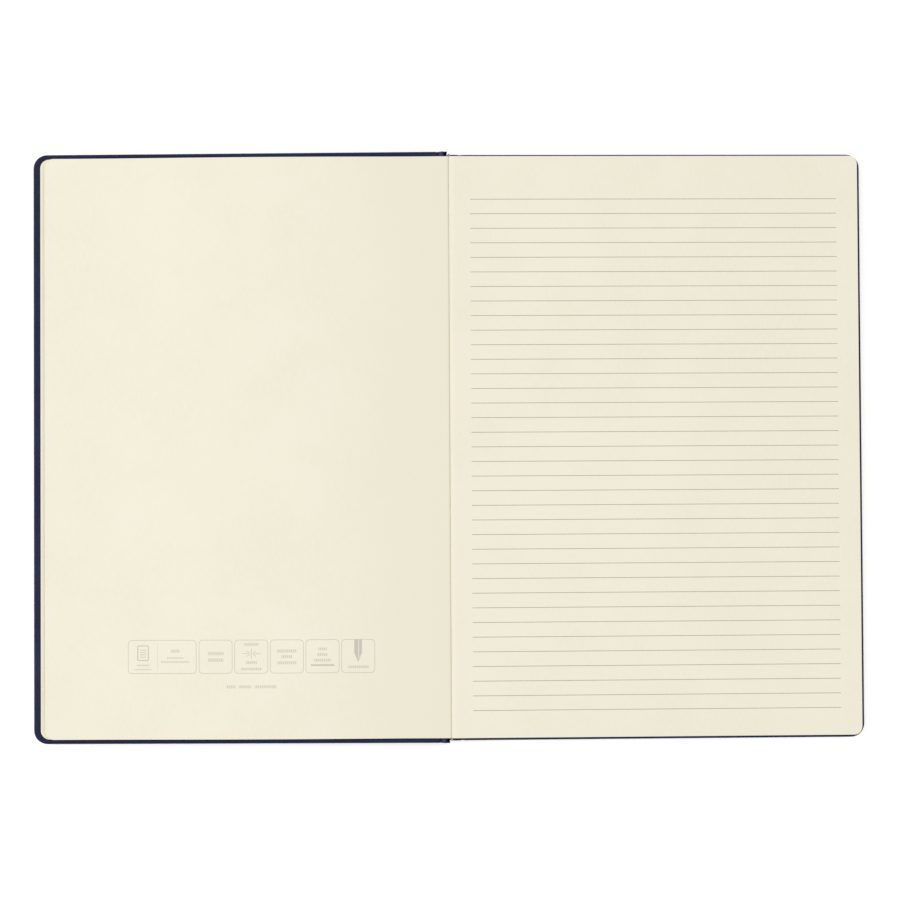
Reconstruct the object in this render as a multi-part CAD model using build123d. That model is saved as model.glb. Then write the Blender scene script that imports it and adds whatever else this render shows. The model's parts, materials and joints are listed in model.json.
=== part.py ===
from build123d import *
import os
from math import asin, atan2, degrees, hypot

# A4 case-bound notebook, lying open at its first page.
# +X runs to the right-hand fore-edge, +Y to the head and +Z up. The spine runs along Y.
# The origin is on the table, right under the line that every leaf and the front cover turn about.

# Leaves
page_width = 210.0
page_height = 297.0
page_corner_radius = 4.5
leaf_thickness = 0.1
leaf_gap = 0.02
sheets_per_section = 4
section_count = 10
section_gap = 0.02

# Endpapers
flyleaf_thickness = 0.12
flyleaf_trim = 2.5
pastedown_thickness = 0.15
pastedown_margin = 3.7
paper_gap = 0.05
fold_gap = 0.05
turning_clearance = 0.06

# Case
board_thickness = 2.5
cloth_thickness = 0.5
head_square = 2.5
fore_edge_square = 3.6
cover_corner_radius = 7.0
turn_in = 15.0
joint_width = 6.5
groove_depth = 1.5
groove_shoulder = 1.9
groove_radius = 0.8
spine_strip_thickness = 1.5
strip_top_drop = 0.8
joint_lap = 0.7

# Spine of the book block
thread_diameter = 0.2
stitch_stations = 6
stitch_end_margin = 25.0
mull_thickness = 0.2
mull_flange_thickness = 0.15
mull_flange_width = 25.0
mull_end_margin = 14.0
lining_thickness = 0.2
lining_end_margin = 4.0
spine_hollow = 0.3
band_bead_radius = 0.7
band_tab_thickness = 0.15
band_tab_length = 10.0
band_gap = 0.05

# Stack of the book block, counted up from the table
sheet_pitch = leaf_thickness + leaf_gap
leaves_per_section = 2 * sheets_per_section
section_thickness = leaves_per_section * sheet_pitch - leaf_gap
section_pitch = section_thickness + section_gap
board_inside = cloth_thickness + board_thickness
back_flyleaf_bottom = board_inside + pastedown_thickness + paper_gap
block_bottom = back_flyleaf_bottom + flyleaf_thickness + paper_gap
block_top = block_bottom + section_count * section_pitch - section_gap
hinge_height = block_top + turning_clearance

# Heights of the front cover's layers above the hinge line, with the book closed
front_flyleaf_bottom = turning_clearance
front_pastedown_bottom = front_flyleaf_bottom + flyleaf_thickness + paper_gap
front_board_inside = front_pastedown_bottom + pastedown_thickness
front_cover_outside = front_board_inside + board_thickness + cloth_thickness

# Outlines
half_page = page_height / 2
half_cover = half_page + head_square
half_board = half_cover - cloth_thickness
cover_reach = page_width + fore_edge_square
board_reach = cover_reach - cloth_thickness
board_corner_radius = cover_corner_radius - cloth_thickness
pastedown_reach = cover_reach - pastedown_margin
pastedown_start = 0.6
half_mull = half_page - mull_end_margin
flange_reach = joint_width + mull_flange_width

# The open front cover leans down until its outer edge lies on the table
cover_lean = degrees(
    asin(hinge_height / hypot(cover_reach, front_cover_outside))
    - atan2(front_cover_outside, cover_reach)
)

# Layers behind the spine, counted to the left of the folds
mull_face = -thread_diameter
lining_face = mull_face - mull_thickness
band_face = lining_face - lining_thickness
strip_inside = band_face - spine_hollow
strip_outside = strip_inside - spine_strip_thickness
case_back = strip_outside - cloth_thickness
strip_top = hinge_height - strip_top_drop


def slab(x_low, x_high, y_low, y_high, z_low, z_high):
    """A plain block given by its limits along each axis."""
    return Pos((x_low + x_high) / 2, (y_low + y_high) / 2, (z_low + z_high) / 2) * Box(
        x_high - x_low, y_high - y_low, z_high - z_low
    )


def panel(x_low, x_high, half_length, z_low, z_high, corner_radius):
    """A flat panel, centred along the spine, with its two fore-edge corners rounded."""
    body = slab(x_low, x_high, -half_length, half_length, z_low, z_high)
    corners = body.edges().filter_by(Axis.Z).group_by(Axis.X)[-1]
    return fillet(corners, corner_radius)


def along_spine(face, half_length):
    """A solid with one section all the way along the spine."""
    return extrude(Plane.XZ * face, amount=half_length, both=True)


def opened(piece):
    """A piece of the front cover, drawn closed about the hinge line, laid open on the left."""
    return Pos(0, 0, hinge_height) * Rot(0, -(180 + cover_lean), 0) * piece


def opened_point(x, z):
    """Where a point of the closed front cover lies once the cover is open."""
    place = (Pos(0, 0, hinge_height) * Rot(0, -(180 + cover_lean), 0) * Pos(x, 0, z)).position
    return (place.X, place.Z)


def save(shape, node):
    shape.label = node
    export_step(shape, f"parts/{node}.step")


# Case covers. Both are drawn with the board's inner face at height 0 and the outside above it.


def cover_panel():
    """Board and covering cloth of one cover, with the cloth turned in flush round the board."""
    cloth_top = board_thickness + cloth_thickness
    wrapped = panel(joint_width, cover_reach, half_cover, 0, cloth_top, cover_corner_radius)
    full_board = panel(
        joint_width, board_reach, half_board, 0, board_thickness, board_corner_radius
    )
    window_reach = cover_reach - turn_in
    half_window = half_cover - turn_in
    edge_depth = slab(joint_width, cover_reach, -half_cover, half_cover, 0, cloth_thickness)
    window = slab(joint_width, window_reach, -half_window, half_window, 0, cloth_thickness)
    board = full_board - (edge_depth - window)
    cloth = wrapped - board
    flange_seat = slab(joint_width, flange_reach, -half_mull, half_mull, 0, mull_flange_thickness)
    return board - flange_seat, cloth


def pastedown(z_low):
    """The endpaper half that is glued to the board and crosses the joint."""
    return panel(
        pastedown_start, pastedown_reach, half_page, z_low, z_low + pastedown_thickness,
        page_corner_radius,
    )


def flyleaf(z_low):
    """The endpaper half that turns freely, cut a little narrower than the page."""
    return panel(
        fold_gap, page_width - flyleaf_trim, half_page, z_low, z_low + flyleaf_thickness,
        page_corner_radius,
    )


# Book block


def folded_sheet(index, z_middle):
    """One sheet folded round the ones inside it. Index 0 is the outermost of its section."""
    centre_x = section_thickness / 2
    outer = centre_x - index * sheet_pitch
    inner = outer - leaf_thickness
    leg_length = page_width - centre_x
    round_fold = Pos(centre_x, z_middle) * (Circle(outer) - Circle(inner))
    fold_side = Pos(centre_x - outer / 2, z_middle) * Rectangle(outer, 2 * outer)
    profile = round_fold & fold_side
    for side in (-1, 1):
        leg_middle = z_middle + side * (outer - leaf_thickness / 2)
        leg = Pos(centre_x + leg_length / 2, leg_middle) * Rectangle(leg_length, leaf_thickness)
        profile += leg
    return along_spine(profile, half_page)


def section(number):
    """A sewn section: its nested sheets, trimmed together at the fore-edge corners."""
    z_low = block_bottom + (section_count - number) * section_pitch
    z_middle = z_low + section_thickness / 2
    trim = panel(
        -leaf_gap, page_width, half_page + leaf_gap, z_low - leaf_gap, z_low + section_pitch,
        page_corner_radius + leaf_gap,
    )
    sheets = []
    for index in range(sheets_per_section):
        sheet = folded_sheet(index, z_middle) & trim
        if number == 1 and index == 0:
            sheet -= slab(
                section_thickness / 2, page_width, -half_cover, half_cover,
                block_top - leaf_thickness - leaf_gap / 2, block_top + leaf_gap,
            )
        sheets.extend(sheet.solids())
    return Compound(children=sheets)


def first_leaf():
    """The front half of section 1's outermost sheet, which turns by itself."""
    return panel(
        section_thickness / 2 + fold_gap, page_width, half_page,
        block_top - leaf_thickness, block_top, page_corner_radius,
    )


def sewing_thread():
    """Link stitches that run across the backs of all the sections, at even stations."""
    first_station = -half_page + stitch_end_margin
    spacing = (page_height - 2 * stitch_end_margin) / (stitch_stations - 1)
    radius = thread_diameter / 2
    run = block_top - block_bottom - section_thickness
    stitch = Pos(-radius, 0, block_bottom + section_thickness / 2) * Cylinder(
        radius, run, align=(Align.CENTER, Align.CENTER, Align.MIN)
    )
    places = [first_station + number * spacing for number in range(stitch_stations)]
    return Compound(children=[Pos(0, place, 0) * stitch for place in places])


def mull():
    """Lining cloth down the spine, with a flange let into the back board."""
    flange_bottom = board_inside - mull_flange_thickness
    wall = slab(lining_face, mull_face, -half_mull, half_mull, flange_bottom, strip_top)
    flange = slab(lining_face, flange_reach, -half_mull, half_mull, flange_bottom, board_inside)
    return wall + flange


def end_band(end):
    """A rolled band past one end of the block, on a tab that is glued over the lining."""
    bead_y = half_page + band_gap + band_bead_radius
    bead_x = band_face - band_tab_thickness + band_bead_radius
    band_bottom = back_flyleaf_bottom
    band_height = strip_top - band_bottom
    bead = Pos(bead_x, end * bead_y, band_bottom) * Cylinder(
        band_bead_radius, band_height, align=(Align.CENTER, Align.CENTER, Align.MIN)
    )
    tab_limits = sorted((end * bead_y, end * (half_page - band_tab_length)))
    tab = slab(band_face - band_tab_thickness, band_face, *tab_limits, band_bottom, strip_top)
    return bead + tab


# Spine of the case


def spine_pieces():
    """The spine strip and its cloth, turned in flush over both ends of the strip."""
    wrapped = slab(case_back, strip_inside, -half_cover, half_cover, cloth_thickness, strip_top)
    strip = slab(
        strip_outside, strip_inside, -half_board, half_board, cloth_thickness, strip_top
    )
    for end in (-1, 1):
        turned_in = sorted((end * (half_cover - turn_in), end * half_board))
        strip -= slab(
            strip_inside - cloth_thickness, strip_inside, *turned_in, cloth_thickness, strip_top
        )
    return strip, wrapped - strip


def back_joint():
    """Cloth of the back joint, pressed up into a groove between the spine and the board."""
    low = cloth_thickness / 2
    crest = low + groove_depth
    groove_start = strip_inside + groove_shoulder / 2
    groove_end = joint_width - groove_shoulder / 2
    path = FilletPolyline(
        (case_back, low),
        (groove_start, low),
        (groove_start + groove_shoulder, crest),
        (groove_end - groove_shoulder, crest),
        (groove_end, low),
        (joint_width, low),
        radius=groove_radius,
    )
    return along_spine(trace(path, cloth_thickness), half_cover)


def front_joint():
    """Cloth of the front joint, from the top of the spine to the edge of the open board."""
    outside = opened_point(joint_width, front_cover_outside)
    inside = opened_point(joint_width, front_cover_outside - cloth_thickness)
    profile = make_face(
        Polyline(
            (case_back, strip_top), (case_back, strip_top - joint_lap), outside, inside,
            close=True,
        )
    )
    return along_spine(profile, half_cover)


os.makedirs("parts", exist_ok=True)

board, cloth = cover_panel()
flange = slab(
    pastedown_start, flange_reach, -half_mull, half_mull, 0, mull_flange_thickness
)

# The back cover is the same panel with its outside down
turned_over = Pos(0, 0, board_inside) * Rot(180, 0, 0)
save(turned_over * board, "back_board")
save(turned_over * cloth, "back_cover_cloth")
save(back_joint(), "back_joint_cloth")
save(pastedown(board_inside), "back_pastedown")
save(flyleaf(back_flyleaf_bottom), "back_flyleaf")

strip, strip_cloth = spine_pieces()
save(strip, "spine_strip")
save(strip_cloth, "spine_cover_cloth")

lining = slab(
    band_face, lining_face, -half_page + lining_end_margin, half_page - lining_end_margin,
    back_flyleaf_bottom, strip_top,
)
save(lining, "spine_lining")
save(mull(), "mull")
save(sewing_thread(), "sewing_thread")
save(end_band(1), "headband")
save(end_band(-1), "tailband")

for number in range(1, section_count + 1):
    save(section(number), f"section_{number:02d}")
save(first_leaf(), "first_leaf")

on_inner_face = Pos(0, 0, front_board_inside)
save(opened(on_inner_face * board), "front_board")
save(opened(on_inner_face * cloth), "front_cover_cloth")
save(opened(on_inner_face * flange), "front_mull_flange")
save(opened(pastedown(front_pastedown_bottom)), "front_pastedown")
save(opened(flyleaf(front_flyleaf_bottom)), "front_flyleaf")
save(front_joint(), "front_joint_cloth")

print(f"hinge line height {hinge_height:.3f} mm")
print(f"front cover lean {cover_lean:.4f} degrees")
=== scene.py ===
import json
from math import atan2, cos, hypot, pi, radians, sin

import bpy
from mathutils import Matrix, Vector


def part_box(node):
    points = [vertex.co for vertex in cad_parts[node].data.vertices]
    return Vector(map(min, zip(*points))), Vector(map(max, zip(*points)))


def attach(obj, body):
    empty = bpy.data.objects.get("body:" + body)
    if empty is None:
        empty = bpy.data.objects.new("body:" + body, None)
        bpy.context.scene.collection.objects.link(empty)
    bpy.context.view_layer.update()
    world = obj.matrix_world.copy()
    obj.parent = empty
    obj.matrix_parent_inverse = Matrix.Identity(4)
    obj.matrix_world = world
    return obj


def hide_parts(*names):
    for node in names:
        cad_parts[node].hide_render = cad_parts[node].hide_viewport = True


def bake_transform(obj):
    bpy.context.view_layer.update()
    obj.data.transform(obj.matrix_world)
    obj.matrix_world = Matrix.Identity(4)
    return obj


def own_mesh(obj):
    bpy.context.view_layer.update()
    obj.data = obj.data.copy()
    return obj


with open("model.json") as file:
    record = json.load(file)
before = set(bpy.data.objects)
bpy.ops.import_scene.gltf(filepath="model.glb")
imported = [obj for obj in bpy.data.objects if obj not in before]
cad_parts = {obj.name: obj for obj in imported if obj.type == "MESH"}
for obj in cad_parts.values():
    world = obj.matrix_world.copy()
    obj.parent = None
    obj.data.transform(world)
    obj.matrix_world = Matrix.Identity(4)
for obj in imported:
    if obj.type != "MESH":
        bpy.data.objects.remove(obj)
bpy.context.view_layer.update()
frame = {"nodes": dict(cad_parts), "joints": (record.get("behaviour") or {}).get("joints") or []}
scene = bpy.context.scene
MM = 0.001
TINY = 0.01 * MM  # places nearer than this are the same place
WHITE = (1.0, 1.0, 1.0, 1.0)

# Camera and light

SENSOR_WIDTH, FOCAL_LENGTH = 36.0, 76.31  # millimetres
CAMERA_PLACE = (-0.0266, -0.0220, 0.9854)
CAMERA_TILT = (1.1925, -1.5483, -0.3236)  # degrees about x, y and z, from straight down
ROOM_BRIGHTNESS = 0.66

# (place, side in metres, power in watts) of each softbox
WINDOW_SOFTBOX = ((-2.5, 0.35, 1.5), 1.7, 50.0)
OVERHEAD_SOFTBOX = ((0.55, -0.1, 2.0), 1.2, 12.0)


def add_camera():
    lens = bpy.data.cameras.new("camera")
    lens.sensor_width = SENSOR_WIDTH
    lens.lens = FOCAL_LENGTH
    camera = bpy.data.objects.new("camera", lens)
    camera.location = CAMERA_PLACE
    camera.rotation_euler = [radians(turn) for turn in CAMERA_TILT]
    scene.collection.objects.link(camera)
    scene.camera = camera


def add_softbox(name, place, size, power):
    """A square soft light that faces the middle of the book."""
    box = bpy.data.lights.new(name, "AREA")
    box.size = size
    box.energy = power
    lamp = bpy.data.objects.new(name, box)
    lamp.location = place
    lamp.rotation_euler = (-Vector(place)).to_track_quat("-Z", "Y").to_euler()
    scene.collection.objects.link(lamp)


def add_room_light(strength):
    world = bpy.data.worlds.new("room")
    world.use_nodes = True
    background = world.node_tree.nodes["Background"]
    background.inputs["Strength"].default_value = strength
    background.inputs["Color"].default_value = WHITE
    scene.world = world


add_camera()
add_room_light(ROOM_BRIGHTNESS)
add_softbox("window_softbox", *WINDOW_SOFTBOX)
add_softbox("overhead_softbox", *OVERHEAD_SOFTBOX)
scene.view_settings.view_transform = "Standard"


# The hinge line, and where the open cover's pieces lie when it is shut. The cover turns on two
# hinges that share the line, each by half of the whole turn.

joints = {joint["name"]: joint for joint in frame["joints"]}
hinge_height = joints["front_cover_hinge"]["pos_m"][2]
full_turn = radians(2 * joints["front_cover_hinge"]["range_deg"][1])
laid_open = Matrix.Translation((0, 0, hinge_height)) @ Matrix.Rotation(-full_turn, 4, "Y")
laid_shut = laid_open.inverted()


def shut_box(node):
    """Lowest and highest corners of an open-cover piece, measured from the hinge line when shut."""
    places = [laid_shut @ vertex.co for vertex in frame["nodes"][node].data.vertices]
    low = Vector([min(place[axis] for place in places) for axis in range(3)])
    high = Vector([max(place[axis] for place in places) for axis in range(3)])
    return low, high


# Making pieces


def only(piece):
    """Selects one piece and nothing else."""
    bpy.ops.object.select_all(action="DESELECT")
    piece.select_set(True)
    bpy.context.view_layer.objects.active = piece


def pick(piece, kind, test):
    """Opens a piece for editing, with what passes a test of its middle and direction selected.

    The direction is a vertex's or a face's normal, or the way that an edge runs.
    """
    only(piece)
    scene.tool_settings.mesh_select_mode = [kind == name for name in ("VERT", "EDGE", "FACE")]
    mesh = piece.data
    for group in (mesh.vertices, mesh.edges, mesh.polygons):
        group.foreach_set("select", [False] * len(group))
    if kind == "VERT":
        for vertex in mesh.vertices:
            vertex.select = test(vertex.co, vertex.normal)
    if kind == "EDGE":
        for edge in mesh.edges:
            start, end = (mesh.vertices[index].co for index in edge.vertices)
            edge.select = test((start + end) / 2, (end - start).normalized())
    if kind == "FACE":
        for face in mesh.polygons:
            face.select = test(face.center, face.normal)
    bpy.ops.object.mode_set(mode="EDIT")


def close_edit():
    bpy.ops.object.mode_set(mode="OBJECT")


def settle(piece):
    """Puts the place and turn of a piece into its mesh."""
    only(piece)
    bpy.ops.object.transform_apply(location=True, rotation=True, scale=True)


def called(name):
    """Names the piece that was just added, and settles it."""
    piece = bpy.context.object
    piece.name = name
    piece.data.name = name
    settle(piece)
    return piece


def modify(piece, kind, **settings):
    """Adds a modifier and applies it at once."""
    only(piece)
    bpy.ops.object.modifier_add(type=kind)
    modifier = piece.modifiers[-1]
    for name, value in settings.items():
        setattr(modifier, name, value)
    bpy.ops.object.modifier_apply(modifier=modifier.name)


def face_outwards(piece):
    pick(piece, "FACE", lambda middle, way: True)
    bpy.ops.mesh.normals_make_consistent(inside=False)
    close_edit()


def smooth(piece, angle=35):
    only(piece)
    bpy.ops.object.shade_smooth_by_angle(angle=radians(angle))


def block(name, low, high):
    """A box between two corners."""
    bpy.ops.object.select_all(action="DESELECT")
    bpy.ops.mesh.primitive_cube_add(
        size=1,
        location=[(a + b) / 2 for a, b in zip(low, high)],
        scale=[b - a for a, b in zip(low, high)],
    )
    return called(name)


def through(points, steps):
    """A smooth line through a few points: each stretch is cut into the given number of steps."""
    padded = [points[0], *points, points[-1]]
    line = []
    for before, start, end, after in zip(padded, padded[1:], padded[2:], padded[3:]):
        for step in range(steps):
            t = step / steps
            line.append(tuple(
                0.5 * (2 * b + (c - a) * t + (2 * a - 5 * b + 4 * c - d) * t * t
                       + (3 * b - a - 3 * c + d) * t ** 3)
                for a, b, c, d in zip(before, start, end, after)
            ))
    line.append(points[-1])
    return line


def ribbon(name, path, half_length, rows, cuts=()):
    """A strip of sheet that runs along the spine. Its section is the path, as (x, z) points."""
    x, z = path[0]
    bpy.ops.object.select_all(action="DESELECT")
    bpy.ops.mesh.primitive_plane_add(size=2 * half_length, location=(x + half_length, 0, z))
    piece = called(name)
    pick(piece, "VERT", lambda place, way: place.x > x + half_length)
    bpy.ops.mesh.delete(type="VERT")
    bpy.ops.mesh.select_all(action="SELECT")
    if rows > 1:
        bpy.ops.mesh.subdivide(number_cuts=rows - 1)
    bpy.ops.mesh.select_mode(type="EDGE")
    bpy.ops.mesh.select_all(action="SELECT")
    for (x_start, z_start), (x_end, z_end) in zip(path, path[1:]):
        bpy.ops.mesh.extrude_edges_move(
            TRANSFORM_OT_translate={"value": (x_end - x_start, 0, z_end - z_start)}
        )
    for cut in cuts:
        bpy.ops.mesh.select_all(action="SELECT")
        bpy.ops.mesh.bisect(plane_co=(0, cut, 0), plane_no=(0, 1, 0))
    close_edit()
    return piece


def turn_faces(piece, outside):
    """Turns the faces of an open strip so that the first one looks towards outside."""
    if piece.data.polygons[0].normal.dot(Vector(outside)) < 0:
        pick(piece, "FACE", lambda middle, way: True)
        bpy.ops.mesh.flip_normals()
        close_edit()


# Case: leatherette over board, with its turn-ins

COVER_CORNER = 7.0 * MM
CORNER_STEPS = 14
RIM = 0.85 * MM
CLOTH = 0.5 * MM
TURN_IN = 15.0 * MM
CLOTH_EDGE = 0.18 * MM  # how far a cut or folded edge of cloth is rounded
SHARP_EDGE = 50  # degrees

# Depth of the cloth where the ends of a strip are turned in
SPINE_END = 2.0 * MM
BACK_JOINT_END = 1.0 * MM
FRONT_JOINT_END = 0.8 * MM

# Rings round the turned-in side of a cover, from its edge inwards, and how far the pleats stand
# out at two of them
RING_WIDTHS = (0.15 * MM, 0.45 * MM, 0.75 * MM, 1.1 * MM)
PLEATS = ((2, 0.20 * MM), (3, 0.12 * MM))


def cover_wrap(name, low, high):
    """The cloth of one cover, outside up: rounded corners, soft rims and pleated turn-ins."""
    piece = block(name, low, high)
    pick(piece, "EDGE", lambda middle, way: abs(way.z) > 0.9 and middle.x > high.x - TINY)
    bpy.ops.mesh.bevel(offset=COVER_CORNER, segments=CORNER_STEPS, affect="EDGES")
    close_edit()
    pick(piece, "EDGE", lambda middle, way: abs(way.z) < 0.1 and middle.x > low.x + TINY)
    bpy.ops.mesh.bevel(offset=RIM, segments=4, affect="EDGES")
    close_edit()

    # The turned-in side, with the cloth gathered into pleats round the two corners
    pick(piece, "FACE", lambda middle, way: way.z < -0.999)
    for width in RING_WIDTHS:
        bpy.ops.mesh.inset(thickness=width, use_even_offset=True)
    close_edit()
    centre_x, centre_y = high.x - COVER_CORNER, high.y - COVER_CORNER
    for ring, lift in PLEATS:
        radius = COVER_CORNER - RIM - sum(RING_WIDTHS[:ring])

        def on_pleat(place, way):
            out, up = place.x - centre_x, abs(place.y) - centre_y
            if out < TINY or up < TINY or place.z > low.z + TINY:
                return False
            step = round(atan2(up, out) / (pi / 2) * CORNER_STEPS)
            return abs(hypot(out, up) - radius) < 0.15 * MM and step % 2 == 1

        pick(piece, "VERT", on_pleat)
        bpy.ops.transform.translate(value=(0, 0, -lift))
        close_edit()

    pick(piece, "FACE", lambda middle, way: way.x < -0.999 and middle.x < low.x + TINY)
    bpy.ops.mesh.delete(type="FACE")
    close_edit()
    modify(piece, "SOLIDIFY", thickness=CLOTH, offset=-1.0, use_even_offset=True)

    # The turn-ins leave the middle of the board bare
    window = block(
        "window",
        (low.x - 5 * MM, low.y + TURN_IN, low.z - 1 * MM),
        (high.x - TURN_IN, high.y - TURN_IN, low.z + CLOTH + TINY),
    )
    modify(piece, "BOOLEAN", operation="DIFFERENCE", solver="EXACT", object=window)
    bpy.data.objects.remove(window)
    face_outwards(piece)
    return piece


def folded_ends(piece, half_length, depth):
    """Thickens a strip of cloth, more where its two ends are turned in, and rounds its edges.

    depth gives the thickness of a turned-in end at a place on it.
    """
    group = piece.vertex_groups.new(name="depth")
    for vertex in piece.data.vertices:
        turned_in = abs(vertex.co.y) > half_length - TURN_IN + TINY
        wanted = depth(vertex.co) if turned_in else CLOTH
        group.add([vertex.index], wanted / SPINE_END, "REPLACE")
    modify(
        piece, "SOLIDIFY", thickness=SPINE_END, offset=-1.0, use_even_offset=False,
        vertex_group="depth", thickness_vertex_group=0.0,
    )
    piece.vertex_groups.clear()
    face_outwards(piece)
    modify(
        piece, "BEVEL", width=CLOTH_EDGE, segments=2,
        limit_method="ANGLE", angle_limit=radians(SHARP_EDGE),
    )


def spine_and_back_joint():
    """One strip of cloth: down the spine, round its foot, and up into the groove of the joint."""
    low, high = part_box("spine_cover_cloth")
    joint_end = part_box("back_joint_cloth")[1].x
    foot_radius, foot_top = 1.2 * MM, 2.4 * MM
    heights = (high.z, high.z - 1 * MM, 5 * MM, foot_top)
    path = [(low.x, height) for height in heights]
    for step in range(9):
        turn = radians(90 * step / 8)
        path.append((
            low.x + foot_radius - foot_radius * cos(turn),
            foot_radius - foot_radius * sin(turn),
        ))
    groove_depth, slope = 1.5 * MM, 1.9 * MM
    past_end = 0.05 * MM
    rise_start = 0.05 * MM
    fall_start = joint_end - 0.95 * MM - slope
    for start, side in ((rise_start, -1), (fall_start, 1)):
        for step in range(11):
            share = step / 10
            path.append((start + share * slope, groove_depth * (1 + side * cos(pi * share)) / 2))
    path.append((joint_end + past_end, 0.0))
    piece = ribbon("spine_wrap", path, high.y, 1, (high.y - TURN_IN, TURN_IN - high.y))
    turn_faces(piece, (-1, 0, 0))
    above_foot = foot_top - 0.1 * MM
    folded_ends(
        piece, high.y,
        lambda place: SPINE_END if place.z > above_foot else BACK_JOINT_END,
    )
    return piece


def front_joint_folds():
    """The front joint's cloth in two lengths."""
    strip_low, strip_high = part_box("spine_cover_cloth")
    cover_low, cover_high = shut_box("front_cover_cloth")
    edge = laid_open @ Vector((cover_low.x, 0, cover_high.z))
    start = Vector((strip_low.x, 0, strip_high.z))
    way = (edge - start).normalized()
    length = (edge - start).length

    def at(distance):
        place = start + way * distance
        return (place.x, place.z)

    # Distances along the cloth: where the first half of the turn starts, where the second half
    # takes over, and where that ends
    turns_over = (0.0, 0.32 * MM, 0.96 * MM)
    first = [at(turns_over[1] * step / 14) for step in range(15)]
    rest_of_turn = turns_over[2] - turns_over[1]
    second = [at(turns_over[1] + rest_of_turn * step / 16) for step in range(17)]
    second += [at(turns_over[2] + (length - turns_over[2]) * step / 6) for step in range(1, 7)]
    turned_in = (strip_high.y - TURN_IN, TURN_IN - strip_high.y)
    pieces = []
    for name, path in (("front_joint_spine_side", first), ("front_joint_board_side", second)):
        piece = ribbon(name, path, strip_high.y, 1, turned_in)
        turn_faces(piece, (0, 0, -1))
        folded_ends(piece, strip_high.y, lambda place: FRONT_JOINT_END)
        pieces.append(piece)
    seam = [Vector((at(distance)[0], 0, at(distance)[1])) for distance in turns_over]
    return pieces, seam


# Sheets of paper

PAGE_CORNER = 4.5 * MM
PAGE_ROWS = 33

# (distance from the fold, height off its level), in millimetres. The level is the
# middle of the flyleaf's plain solid, and a positive height is away from the cover.
FLYLEAF_SPRING = (
    (0.0, -0.62), (0.55, -0.14), (1.5, -0.03), (3.5, 0.0), (8.5, 0.16), (20.0, 0.62), (45.0, 1.65),
    (72.0, 2.6), (98.0, 3.1), (125.0, 3.0), (155.0, 2.55), (182.0, 2.3), (207.1, 2.6),
)
FLYLEAF_SHY = 0.15 * MM  # how far its head and tail stop short of the plain solid's

# (distance from the fold, height over the middle of the leaf's plain solid), in millimetres
FIRST_LEAF_ROLL = (
    (0.0, -0.02), (0.5, 0.06), (1.4, 0.13), (3.2, 0.14), (7.0, 0.08), (14.0, 0.02), (30.0, 0.0),
    (70.0, 0.0), (110.0, 0.0), (150.0, 0.0), (185.0, 0.03), (209.48, 0.12),
)


def paper_sheet(name, path, half_length):
    """A sheet, not yet thick, with its two fore-edge corners rounded."""
    piece = ribbon(name, path, half_length, PAGE_ROWS)
    end_x = path[-1][0]

    def at_corner(place, way):
        return abs(place.x - end_x) < TINY and abs(place.y) > half_length - TINY

    pick(piece, "VERT", at_corner)
    bpy.ops.mesh.bevel(offset=PAGE_CORNER, segments=8, affect="VERTICES")
    close_edit()
    turn_faces(piece, (0, 0, 1))
    return piece


def wave_sheet(piece, name, height, wave_size, middle):
    """Lifts a sheet in low waves. A middle of 0.5 is as much down as up, and 0 is up only."""
    clouds = bpy.data.textures.new(name, "CLOUDS")
    clouds.noise_scale = wave_size
    modify(
        piece, "DISPLACE", texture=clouds, texture_coords="LOCAL", direction="Z",
        strength=height, mid_level=middle,
    )


def flyleaf_sheet():
    """The free endpaper, sprung a little away from the cover it lies on."""
    low, high = shut_box("front_flyleaf")
    middle = (low.z + high.z) / 2
    path = []
    for distance, spring in through(FLYLEAF_SPRING, 4):
        place = laid_open @ Vector((low.x + distance * MM, 0, middle - spring * MM))
        path.append((place.x, place.z))
    piece = paper_sheet("front_flyleaf_sheet", path, high.y - FLYLEAF_SHY)
    wave_sheet(piece, "flyleaf_wave", height=0.18 * MM, wave_size=0.11, middle=0.5)
    modify(piece, "SOLIDIFY", thickness=high.z - low.z, offset=0.0)
    face_outwards(piece)
    return piece, (high.x - low.x, high.y - low.y)


def first_leaf_sheet():
    """The ruled first leaf, rolled a little where it leaves the fold."""
    low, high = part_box("first_leaf")
    middle = (low.z + high.z) / 2
    path = [
        (low.x + distance * MM, middle + lift * MM)
        for distance, lift in through(FIRST_LEAF_ROLL, 4)
    ]
    piece = paper_sheet("first_leaf_sheet", path, high.y)
    wave_sheet(piece, "leaf_wave", height=0.08 * MM, wave_size=0.09, middle=0.0)
    modify(piece, "SOLIDIFY", thickness=high.z - low.z, offset=0.0)
    face_outwards(piece)
    return piece, (high.x - low.x, high.y - low.y)


# Bands at the two ends of the spine

WINDINGS = 20
BAND_RADIUS = 0.7 * MM
BAND_WAIST = 0.84  # radius between two windings, as a share of the whole
BAND_TAB = 0.15 * MM  # thickness of the glued tab


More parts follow.
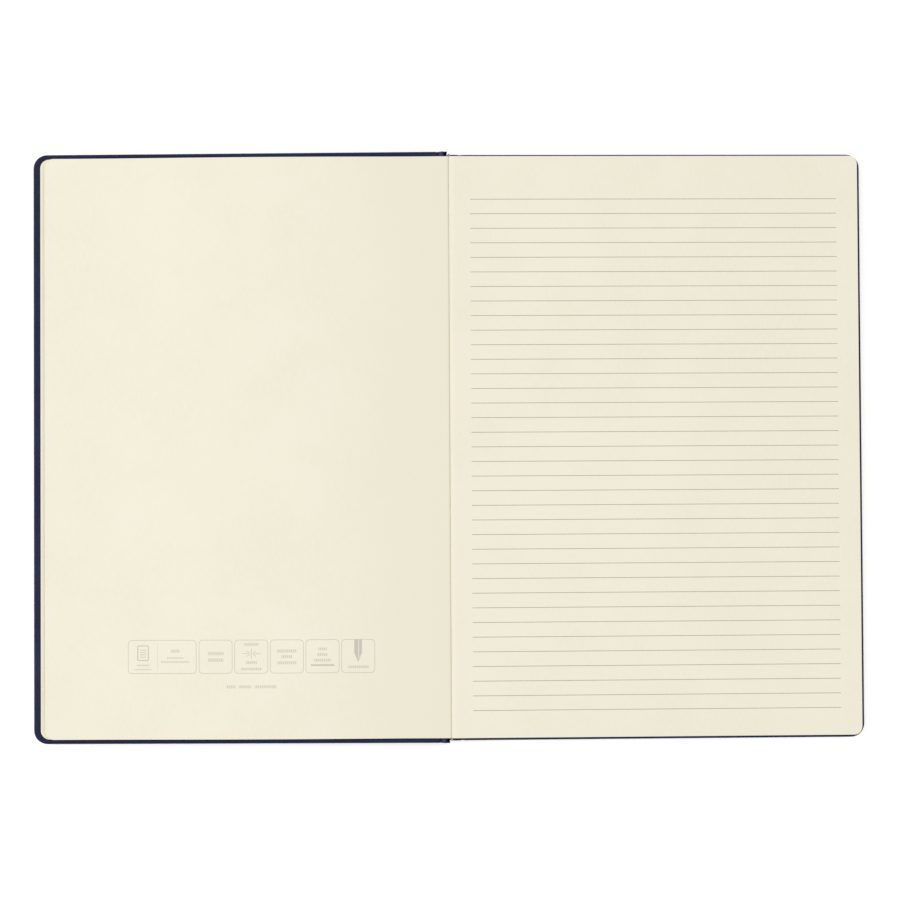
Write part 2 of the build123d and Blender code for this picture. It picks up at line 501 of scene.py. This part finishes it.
def wound_band(name, node):
    """A cord wound with thread, standing past the end of the block on its glued tab."""
    low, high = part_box(node)
    end = 1 if high.y > 0 else -1
    tip, root = (high.y, low.y) if end > 0 else (low.y, high.y)
    bead_y = tip - end * BAND_RADIUS
    bead_x = high.x - BAND_RADIUS
    middle_z = (low.z + high.z) / 2
    bpy.ops.object.select_all(action="DESELECT")
    bpy.ops.mesh.primitive_cylinder_add(
        vertices=14, radius=BAND_RADIUS, depth=high.z - low.z,
        location=(bead_x, bead_y, middle_z),
    )
    bead = called(name)
    pick(bead, "EDGE", lambda middle, way: abs(way.z) > 0.9)
    bpy.ops.mesh.subdivide(number_cuts=2 * WINDINGS - 1)
    close_edit()
    step = (high.z - low.z) / (2 * WINDINGS)
    pick(bead, "VERT", lambda place, way: round((place.z - low.z) / step) % 2 == 0)
    bpy.ops.transform.resize(
        value=(BAND_WAIST, BAND_WAIST, 1), center_override=(bead_x, bead_y, middle_z),
    )
    close_edit()
    tab = block(
        name + "_tab",
        (low.x, min(bead_y, root), low.z),
        (low.x + BAND_TAB, max(bead_y, root), high.z),
    )
    pick(tab, "EDGE", lambda middle, way: True)
    bpy.ops.mesh.bevel(offset=BAND_TAB / 3, segments=2, affect="EDGES")
    close_edit()
    bpy.ops.object.select_all(action="DESELECT")
    tab.select_set(True)
    bead.select_set(True)
    bpy.context.view_layer.objects.active = bead
    bpy.ops.object.join()
    modify(bead, "SUBSURF", levels=1, render_levels=1)
    face_outwards(bead)
    return bead


# Finishes


class Wire:
    """A value that changes over a surface. Sums on it become Math nodes."""

    def __init__(self, finish, socket):
        self.finish = finish
        self.socket = socket

    def maths(self, operation, *others):
        return self.finish.maths(operation, self, *others)

    def __add__(self, other):
        return self.maths("ADD", other)

    __radd__ = __add__

    def __sub__(self, other):
        return self.maths("SUBTRACT", other)

    def __rsub__(self, other):
        return self.finish.maths("SUBTRACT", other, self)

    def __mul__(self, other):
        return self.maths("MULTIPLY", other)

    __rmul__ = __mul__

    def __truediv__(self, other):
        return self.maths("DIVIDE", other)

    def __rtruediv__(self, other):
        return self.finish.maths("DIVIDE", other, self)

    def __abs__(self):
        return self.maths("ABSOLUTE")

    def near(self, middle, half_width):
        """1 within half_width of middle, and 0 elsewhere."""
        return self.maths("COMPARE", middle, half_width)

    def eased(self, low, high):
        """0 below low, 1 above high, and a smooth step between."""
        return self.finish.node(
            "ShaderNodeMapRange", {"interpolation_type": "SMOOTHSTEP"},
            {"Value": self, "From Min": low, "From Max": high},
        )


class Finish:
    """One procedural material."""

    def __init__(self, name, **constants):
        self.material = bpy.data.materials.new(name)
        self.material.use_nodes = True
        self.tree = self.material.node_tree
        self.shader = self.tree.nodes["Principled BSDF"]
        for socket, value in constants.items():
            self.shader.inputs[socket.replace("_", " ")].default_value = value
        self.place = self.node("ShaderNodeTexCoord", out="Object")
        axes = self.node("ShaderNodeSeparateXYZ", sockets={0: self.place}).socket.node.outputs
        self.x, self.y, self.z = (Wire(self, axis) for axis in axes)

    def node(self, kind, settings=None, sockets=None, out=0):
        """Adds a node: its settings first, then the value or wire of each socket."""
        made = self.tree.nodes.new(kind)
        for name, value in (settings or {}).items():
            setattr(made, name, value)
        for name, value in (sockets or {}).items():
            if isinstance(value, Wire):
                self.tree.links.new(value.socket, made.inputs[name])
            else:
                made.inputs[name].default_value = value
        return Wire(self, made.outputs[out])

    def maths(self, operation, *values):
        return self.node("ShaderNodeMath", {"operation": operation}, dict(enumerate(values)))

    def mix(self, factor, first, second):
        """A colour between two others. Each is a colour or a wire."""
        colours = [v if isinstance(v, Wire) else (*v, 1.0) for v in (first, second)]
        return self.node(
            "ShaderNodeMix", {"data_type": "RGBA"},
            {0: factor, 6: colours[0], 7: colours[1]}, out=2,
        )

    def facing_z(self):
        """How far the surface looks up: 1 is straight up and -1 straight down."""
        facing = self.node("ShaderNodeTexCoord", out="Normal")
        parts = self.node("ShaderNodeSeparateXYZ", sockets={0: facing}).socket.node
        return Wire(self, parts.outputs[2])

    def noise(self, size, detail=3.0, roughness=0.55, stretch=None):
        """Cloudy noise whose features are about size metres across."""
        sockets = {"Scale": 1.0 / size, "Detail": detail, "Roughness": roughness}
        sockets["Vector"] = self.stretched(stretch) if stretch else self.place
        return self.node("ShaderNodeTexNoise", {"noise_dimensions": "3D"}, sockets)

    def stretched(self, scale):
        return self.node("ShaderNodeMapping", sockets={"Vector": self.place, "Scale": scale})

    def cells(self, size, feature="F1"):
        """Small cells, about size metres across."""
        return self.node(
            "ShaderNodeTexVoronoi", {"feature": feature},
            {"Vector": self.place, "Scale": 1.0 / size},
        )

    def feed(self, socket, wire):
        self.tree.links.new(wire.socket, self.shader.inputs[socket])

    def bump(self, height, distance, strength=1.0):
        self.feed("Normal", self.node(
            "ShaderNodeBump",
            sockets={"Height": height, "Distance": distance, "Strength": strength},
        ))


def leatherette():
    """Navy cloth with a pebbled grain, rubbed in places, and lightened along its edges as real wear
    and as a painted sheen.
    """
    pebble_size = 0.75 * MM
    finish = Finish("cover_leatherette", Specular_IOR_Level=0.18)
    pebbles = finish.cells(pebble_size, "SMOOTH_F1")
    creases = finish.cells(pebble_size, "DISTANCE_TO_EDGE").eased(0.0, 0.22)
    fine = finish.noise(0.22 * MM, 4.0)
    cloudy = finish.noise(28 * MM, 3.0)
    rubbed = finish.noise(5 * MM, 5.0).eased(0.56, 0.78)
    dark, navy = (0.005, 0.006, 0.022), (0.008, 0.0105, 0.050)
    worn, edge_wear_and_sheen = (0.019, 0.025, 0.084), (0.036, 0.045, 0.115)
    base = finish.mix(creases, dark, navy)
    base = finish.mix(cloudy.eased(0.35, 0.7) * 0.35, base, worn)
    base = finish.mix(rubbed * creases * 0.3, base, worn)
    level = abs(finish.facing_z())
    wear_and_sheen_patches = 0.35 + finish.noise(3 * MM, 4.0) * 0.5
    # Painted sheen and wear: the rims, which do not face up, are mixed towards a lighter navy in
    # patches.
    base = finish.mix((1 - level.eased(0.75, 0.99)) * wear_and_sheen_patches, base, edge_wear_and_sheen)
    finish.feed("Base Color", base)
    finish.feed("Roughness", 0.36 + fine * 0.14 + (1 - creases) * 0.14)
    height = creases * 0.65 - pebbles * 0.35 + fine * 0.35
    finish.bump(height, 0.11 * MM, 0.9)
    return finish.material


PAPER = (0.742, 0.712, 0.584)
PAPER_SHADE = (0.726, 0.693, 0.564)
PAPER_LIGHT = (0.758, 0.731, 0.606)
# Painted shade: the flyleaf's colour towards the fold
PAPER_PAINTED_FOLD_SHADE = (0.712, 0.676, 0.546)
INK = (0.27, 0.25, 0.215)
MARK_INK = (0.34, 0.33, 0.285)


def paper_ground(finish):
    """Cream paper: faint clouding, short fibres and fine tooth. Returns its colour."""
    clouding = finish.noise(34 * MM, 4.0)
    fibres = finish.noise(1.3 * MM, 5.0, 0.65, stretch=(1.0, 0.35, 1.0))
    tooth = finish.noise(0.55 * MM, 3.0, 0.6)
    flecks = finish.noise(0.9 * MM, 2.0).eased(0.69, 0.76)
    colour = finish.mix(clouding.eased(0.3, 0.7), PAPER_SHADE, PAPER)
    colour = finish.mix(fibres.eased(0.42, 0.72) * 0.55, colour, PAPER_LIGHT)
    colour = finish.mix(flecks * 0.5, colour, PAPER_SHADE)
    finish.feed("Roughness", 0.74 + tooth * 0.16)
    finish.bump(tooth * 0.6 + fibres * 0.4, 0.035 * MM, 0.55)
    return colour


def plain_endpaper():
    finish = Finish("endpaper", Specular_IOR_Level=0.25)
    finish.feed("Base Color", paper_ground(finish))
    return finish.material


RULE_COUNT = 36
RULE_PITCH = 7.455 * MM
RULE_TOP_MARGIN = 22.14 * MM
RULE_GUTTER = 10.8 * MM
RULE_FORE_EDGE = 10.9 * MM
RULE_HALF_WIDTH = 0.15 * MM


def ruled_paper():
    """Page paper with its printed rules, and darker leaf edges round the block."""
    finish = Finish("page_paper", Specular_IOR_Level=0.25)
    low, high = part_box("section_05")
    ground = paper_ground(finish)
    count = (high.y - RULE_TOP_MARGIN - finish.y) / RULE_PITCH
    on_rule = (count + 0.5).maths("FRACT").near(0.5, RULE_HALF_WIDTH / RULE_PITCH)
    in_rows = count.near((RULE_COUNT - 1) / 2, RULE_COUNT / 2 - 0.25)
    start, end = RULE_GUTTER, high.x - RULE_FORE_EDGE
    in_width = finish.x.near((start + end) / 2, (end - start) / 2)
    uneven = 0.72 + finish.noise(2.2 * MM, 2.0) * 0.35
    colour = finish.mix(on_rule * in_rows * in_width * uneven, ground, INK)

    # The cut edges: every leaf catches the light a little differently
    edge_shade, edge_pale, edge_dust = (0.60, 0.565, 0.43), (0.80, 0.775, 0.64), (0.58, 0.54, 0.40)
    on_edge = 1 - abs(finish.facing_z()).eased(0.3, 0.7)
    leaves = finish.noise(0.16 * MM, 2.0, 0.7, stretch=(0.03, 0.03, 1.0))
    dust = finish.noise(14 * MM, 3.0)
    edge_tone = finish.mix(leaves.eased(0.3, 0.7), edge_shade, edge_pale)
    edge_tone = finish.mix(dust.eased(0.4, 0.75) * 0.22, edge_tone, edge_dust)
    finish.feed("Base Color", finish.mix(on_edge, colour, edge_tone))
    return finish.material


def box_outline(finish, x, y, middle, half_size, corner, line):
    """A thin outline with rounded corners round middle. x and y are wires in metres.

    line is half of the outline's width.
    """
    out = abs(x - middle[0]) - (half_size[0] - corner)
    up = abs(y - middle[1]) - (half_size[1] - corner)
    far_out, far_up = out.maths("MAXIMUM", 0.0), up.maths("MAXIMUM", 0.0)
    beyond = (far_out * far_out + far_up * far_up).maths("SQRT")
    inside = out.maths("MAXIMUM", up).maths("MINIMUM", 0.0)
    return (beyond + inside).near(corner, line)


def bar(x, y, middle_x, middle_y, width, height):
    """A filled bar. x and y are wires in metres, and the rest is in millimetres."""
    return x.near(middle_x * MM, width * MM / 2) * y.near(middle_y * MM, height * MM / 2)


def marked_endpaper():
    """The flyleaf, one side with a row of small printed boxes. Plain bars stand for lettering."""
    finish = Finish("endpaper_marked", Specular_IOR_Level=0.25)
    ground = paper_ground(finish)
    x = finish.x
    # Painted shade: the flyleaf darkens towards the fold, where a sprung page's slope would be
    # shaded.
    painted_fold_shade = 0.75 * x.eased(-75 * MM, -8 * MM) + 0.25 * x.eased(-12 * MM, -1 * MM)
    ground = finish.mix(painted_fold_shade, ground, PAPER_PAINTED_FOLD_SHADE)
    row = finish.y + 106.4 * MM  # height over the middle of the row
    line = 0.13 * MM
    pitch = 18.12 * MM
    half = 8.42 * MM
    corner = 1.9 * MM
    first = -129.0 * MM

    # Five equal boxes
    count = (x - first) / pitch
    along = (count.maths("FRACT") - 0.5) * pitch
    in_row = count.near(2.5, 2.5)
    outlines = box_outline(finish, along, row, (0, 0), (half, half), corner, line) * in_row

    # One wide box, with a divider and a sheet pictogram
    wide = (-147.2 * MM, 0.0)
    outlines += box_outline(finish, x, row, wide, (17.35 * MM, half), corner, line)
    outlines += bar(x, row, -149.6, 0.0, 0.2, 14.6) * 0.6
    sheet_middle, sheet_half_size = (-157.0 * MM, 1.9 * MM), (2.7 * MM, 3.7 * MM)
    outlines += box_outline(
        finish, x, row, sheet_middle, sheet_half_size, corner=0.5 * MM, line=0.22 * MM,
    )
    solid = bar(x, row, -157.0, 3.5, 3.2, 0.35)
    for height in (2.3, 1.1, -0.1):
        solid += bar(x, row, -157.0, height, 3.2, 0.35)

    # (middle x, height over the middle of the row, width, thickness) of the bars, in millimetres
    bars = (
        (-157.0, -4.3, 6.4, 0.9), (-157.0, -6.4, 8.6, 0.7),
        (-140.6, 2.9, 4.8, 1.5), (-140.6, -0.6, 8.6, 0.8), (-140.6, -2.6, 14.6, 0.9),
        (-119.9, 1.6, 8.0, 1.7), (-119.9, -1.7, 7.8, 1.7),
        (-101.8, 6.2, 7.4, 1.4), (-101.8, -3.0, 5.6, 1.5), (-101.8, -6.3, 11.0, 1.4),
        (-83.7, 2.8, 10.2, 1.6), (-83.7, -0.1, 5.6, 1.5), (-83.7, -3.2, 10.0, 1.5),
        (-65.6, 3.7, 4.4, 1.4), (-65.6, 0.9, 5.2, 1.4), (-65.6, -2.0, 8.6, 1.4),
        (-47.5, -5.5, 10.6, 1.4),
        (-112.2, -15.3, 5.0, 1.5), (-104.8, -15.3, 6.3, 1.5), (-94.6, -15.3, 11.2, 1.5),
    )
    greyed = bar(x, row, *bars[0])
    for place in bars[1:]:
        greyed += bar(x, row, *place)
    letter_gaps = finish.maths("FRACT", x / (1.05 * MM)).near(0.5, 0.36)
    greyed = greyed * letter_gaps

    # Thickness mark, underline and nib
    solid += bar(x, row, -101.8, 1.5, 0.35, 5.2)
    solid += bar(x, row, -105.0, 1.5, 2.8, 0.3) + bar(x, row, -98.6, 1.5, 2.8, 0.3)
    spread = (abs(x + 101.8 * MM) - 0.7 * MM) * 0.9
    arrow = spread.maths("SUBTRACT", abs(row - 1.5 * MM)).near(0.0, 0.22 * MM)
    solid += arrow * abs(x + 101.8 * MM).near(1.5 * MM, 0.75 * MM)
    solid += bar(x, row, -65.6, -4.5, 12.0, 0.85)
    taper = (row + 3.0 * MM) * 0.42
    nib = (taper.maths("MINIMUM", 1.95 * MM) - abs(x + 47.5 * MM)).maths("GREATER_THAN", 0.0)
    slit = 1 - x.near(-47.2 * MM, 0.16 * MM) * row.near(3.6 * MM, 4.8 * MM)
    solid += nib * slit * row.near(2.6 * MM, 5.75 * MM)

    ink = (outlines * 0.66 + solid * 0.60 + greyed * 0.44).maths("MINIMUM", 0.72)
    printed_side = finish.facing_z().eased(0.1, 0.5)
    finish.feed("Base Color", finish.mix(ink * printed_side, ground, MARK_INK))
    return finish.material


def greyboard():
    finish = Finish("greyboard", Specular_IOR_Level=0.2)
    pulp = finish.noise(1.6 * MM, 5.0, 0.7)
    specks = finish.cells(1.1 * MM).eased(0.12, 0.2)
    colour = finish.mix(pulp.eased(0.3, 0.7), (0.30, 0.29, 0.27), (0.46, 0.45, 0.42))
    finish.feed("Base Color", finish.mix((1 - specks) * 0.5, colour, (0.16, 0.15, 0.14)))
    finish.feed("Roughness", 0.82 + pulp * 0.12)
    finish.bump(pulp, 0.08 * MM, 0.7)
    return finish.material


def kraft():
    finish = Finish("kraft_lining", Specular_IOR_Level=0.25)
    fibres = finish.noise(0.9 * MM, 5.0, 0.7, stretch=(1.0, 0.2, 1.0))
    colour = finish.mix(fibres.eased(0.3, 0.7), (0.33, 0.22, 0.12), (0.48, 0.34, 0.20))
    finish.feed("Base Color", colour)
    finish.feed("Roughness", 0.68 + fibres * 0.18)
    finish.bump(fibres, 0.05 * MM, 0.6)
    return finish.material


def mull_weave():
    """Stiff open-weave cotton: round threads both ways, with dark holes between them."""
    finish = Finish("mull_cloth", Specular_IOR_Level=0.2)
    pitch = 0.9 * MM
    warp = abs(((finish.y / pitch).maths("FRACT") - 0.5) * 2.0)
    weft = abs((((finish.x + finish.z) / pitch).maths("FRACT") - 0.5) * 2.0)
    threads = (1 - warp).maths("MAXIMUM", 1 - weft)
    fuzz = finish.noise(0.3 * MM, 3.0)
    colour = finish.mix(threads.eased(0.35, 0.6), (0.30, 0.27, 0.21), (0.76, 0.74, 0.66))
    finish.feed("Base Color", finish.mix(fuzz * 0.25, colour, (0.62, 0.59, 0.50)))
    finish.feed("Roughness", 0.78 + fuzz * 0.15)
    finish.bump(threads + fuzz * 0.2, 0.15 * MM, 0.8)
    return finish.material


def linen():
    finish = Finish("linen_thread", Specular_IOR_Level=0.3)
    twist = ((finish.z + finish.y * 0.8) / (0.35 * MM)).maths("FRACT")
    strand = abs(twist - 0.5) * 2.0
    colour = finish.mix(strand, (0.78, 0.75, 0.66), (0.52, 0.49, 0.40))
    finish.feed("Base Color", colour)
    finish.feed("Roughness", 0.55 + strand * 0.2)
    finish.bump(1 - strand, 0.04 * MM, 0.8)
    return finish.material


def band_threads(low, high):
    """Two colours of thread wound in turn."""
    finish = Finish("band_cloth", Specular_IOR_Level=0.4)
    turn = ((finish.z - low.z) / ((high.z - low.z) / WINDINGS) * 0.25).maths("FRACT")
    coloured = turn.eased(0.48, 0.52)
    silk = finish.noise(0.12 * MM, 3.0, stretch=(1.0, 1.0, 0.2))
    pale = finish.mix(silk, (0.56, 0.55, 0.50), (0.70, 0.69, 0.63))
    blue = finish.mix(silk, (0.17, 0.18, 0.22), (0.27, 0.28, 0.32))
    finish.feed("Base Color", finish.mix(coloured, pale, blue))
    finish.feed("Roughness", 0.42 + silk * 0.2)
    finish.bump(silk, 0.03 * MM, 0.5)
    return finish.material


def table_top():
    """A pale table that glows a little, as a lit sweep does."""
    finish = Finish("table_top", Specular_IOR_Level=0.1, Roughness=0.9, Emission_Strength=0.24)
    finish.shader.inputs["Emission Color"].default_value = WHITE
    cloudy = finish.noise(0.4, 2.0)
    finish.feed("Base Color", finish.mix(cloudy, (0.90, 0.90, 0.90), (0.92, 0.92, 0.92)))
    return finish.material


def finish_with(piece, material):
    piece.data.materials.clear()
    piece.data.materials.append(material)


# Assembly

cover_finish = leatherette()
page_finish = ruled_paper()
endpaper_finish = plain_endpaper()
marked_finish = marked_endpaper()
board_finish = greyboard()
weave_finish = mull_weave()
band_finish = band_threads(*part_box("headband"))

for node, material in (
    ("front_board", board_finish), ("back_board", board_finish), ("spine_strip", board_finish),
    ("front_pastedown", endpaper_finish), ("back_pastedown", endpaper_finish),
    ("back_flyleaf", endpaper_finish), ("mull", weave_finish), ("front_mull_flange", weave_finish),
    ("spine_lining", kraft()), ("sewing_thread", linen()),
    *((f"section_{number:02d}", page_finish) for number in range(1, 11)),
):
    finish_with(frame["nodes"][node], material)


def place_piece(piece, body, slot, material, *nodes):
    """Finishes a piece and puts it on its body, in place of the CAD nodes that it stands for."""
    finish_with(piece, material)
    smooth(piece)
    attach(piece, body)
    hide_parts(*nodes)


back_low, back_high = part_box("back_cover_cloth")
back_wrap = cover_wrap("back_cover_wrap", back_low, back_high)
only(back_wrap)
back_wrap.matrix_world = (
    Matrix.Translation((0, 0, back_low.z + back_high.z)) @ Matrix.Rotation(pi, 4, "X")
)
settle(back_wrap)
place_piece(back_wrap, "book_block", "cover_leatherette", cover_finish, "back_cover_cloth")

front_wrap = cover_wrap("front_cover_wrap", *shut_box("front_cover_cloth"))
front_wrap.matrix_world = laid_open
settle(front_wrap)
place_piece(front_wrap, "front_cover", "cover_leatherette", cover_finish, "front_cover_cloth")

spine_wrap = spine_and_back_joint()
place_piece(
    spine_wrap, "book_block", "cover_leatherette", cover_finish,
    "spine_cover_cloth", "back_joint_cloth",
)

(spine_side, board_side), seam = front_joint_folds()
for piece in (spine_side, board_side):
    finish_with(piece, cover_finish)
    smooth(piece)
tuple(seam[0])
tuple(seam[1])
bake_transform(spine_side)
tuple(seam[1])
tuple(seam[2])
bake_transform(board_side)
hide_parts("front_joint_cloth")
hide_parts("front_joint_cloth")

flyleaf, flyleaf_flat = flyleaf_sheet()
place_piece(flyleaf, "front_flyleaf", "endpaper", marked_finish, "front_flyleaf")
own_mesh(flyleaf)

leaf, leaf_flat = first_leaf_sheet()
place_piece(leaf, "first_leaf", "page_paper", page_finish, "first_leaf")

for node in ("headband", "tailband"):
    place_piece(wound_band(node + "_wound", node), "book_block", "band_cloth", band_finish, node)

# The table lies just under the book, so that their faces never share a height
TABLE_SIZE = 30.0
TABLE_DROP = 0.02 * MM
bpy.ops.object.select_all(action="DESELECT")
bpy.ops.mesh.primitive_plane_add(size=TABLE_SIZE, location=(0, 0, -TABLE_DROP))
table = called("table")
finish_with(table, table_top())
